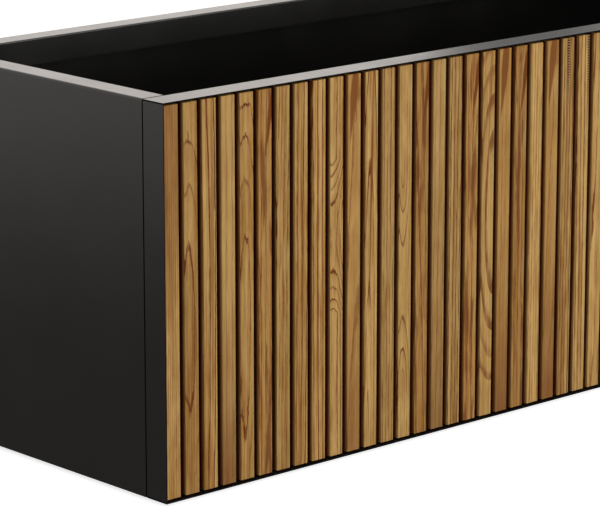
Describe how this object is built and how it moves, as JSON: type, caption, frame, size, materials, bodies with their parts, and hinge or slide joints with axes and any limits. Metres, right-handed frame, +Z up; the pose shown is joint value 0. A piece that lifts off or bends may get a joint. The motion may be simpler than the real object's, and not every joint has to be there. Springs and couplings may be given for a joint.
{
  "type": "rectangular planter",
  "caption": "Rectangular sheet-metal planter, open at the top, with a flat folded rim and a front cassette of upright wooden slats.",
  "frame": {"origin": "on the floor, under the middle of the planter", "axes": "+X along the length, +Y from the slatted front to the back, +Z up"},
  "size_m": [1.324, 0.495, 0.505],
  "materials": {
    "powder_coated_steel": "satin powder coat, near black",
    "galvanised_steel": "hot-dip galvanised sheet, dull",
    "zinc_plated_steel": "zinc plated, satin",
    "oiled_wood": "planed and oiled softwood, honey brown",
    "nylon": "moulded nylon, matt black",
    "rubber": "moulded rubber, matt black"
  },
  "bodies": {
    "planter": {"left_end_panel": "powder_coated_steel", "right_end_panel": "powder_coated_steel", "back_panel": "powder_coated_steel", "front_wall": "powder_coated_steel", "base_pan": "powder_coated_steel", "cassette_tray": "powder_coated_steel", "foot_channel_left": "galvanised_steel", "foot_channel_right": "galvanised_steel", "slat_rail_lower": "powder_coated_steel", "slat_rail_middle": "powder_coated_steel", "slat_rail_upper": "powder_coated_steel", "slat_01": "oiled_wood", "slat_02": "oiled_wood", "slat_03": "oiled_wood", "slat_04": "oiled_wood", "slat_05": "oiled_wood", "slat_06": "oiled_wood", "slat_07": "oiled_wood", "slat_08": "oiled_wood", "slat_09": "oiled_wood", "slat_10": "oiled_wood", "slat_11": "oiled_wood", "slat_12": "oiled_wood", "slat_13": "oiled_wood", "slat_14": "oiled_wood", "slat_15": "oiled_wood", "slat_16": "oiled_wood", "slat_17": "oiled_wood", "slat_18": "oiled_wood", "slat_19": "oiled_wood", "slat_20": "oiled_wood", "slat_21": "oiled_wood", "slat_22": "oiled_wood", "slat_23": "oiled_wood", "slat_24": "oiled_wood", "slat_25": "oiled_wood", "slat_26": "oiled_wood", "slat_27": "oiled_wood", "slat_28": "oiled_wood", "slat_29": "oiled_wood", "slat_30": "oiled_wood", "slat_31": "oiled_wood", "slat_32": "oiled_wood", "slat_33": "oiled_wood", "slat_34": "oiled_wood", "slat_35": "oiled_wood", "slat_36": "oiled_wood", "slat_37": "oiled_wood", "slat_38": "oiled_wood", "slat_39": "oiled_wood", "slat_40": "oiled_wood", "slat_41": "oiled_wood", "slat_42": "oiled_wood", "slat_43": "oiled_wood", "slat_44": "oiled_wood"},
    "drain_plug": {"drain_plug": "rubber"},
    "foot_front_left": {"levelling_foot_front_left": "nylon"},
    "foot_back_left": {"levelling_foot_back_left": "nylon"},
    "foot_front_right": {"levelling_foot_front_right": "nylon"},
    "foot_back_right": {"levelling_foot_back_right": "nylon"}
  },
  "joints": [
    {"name": "drain_plug_lift", "type": "slide", "parent": "planter", "child": "drain_plug", "axis": [0, 0, 1], "range_m": [0, 0.03]},
    {"name": "foot_front_left_travel", "type": "slide", "parent": "planter", "child": "foot_front_left", "axis": [0, 0, -1], "range_m": [0, 0.01]},
    {"name": "foot_back_left_travel", "type": "slide", "parent": "planter", "child": "foot_back_left", "axis": [0, 0, -1], "range_m": [0, 0.01]},
    {"name": "foot_front_right_travel", "type": "slide", "parent": "planter", "child": "foot_front_right", "axis": [0, 0, -1], "range_m": [0, 0.01]},
    {"name": "foot_back_right_travel", "type": "slide", "parent": "planter", "child": "foot_back_right", "axis": [0, 0, -1], "range_m": [0, 0.01]}
  ]
}
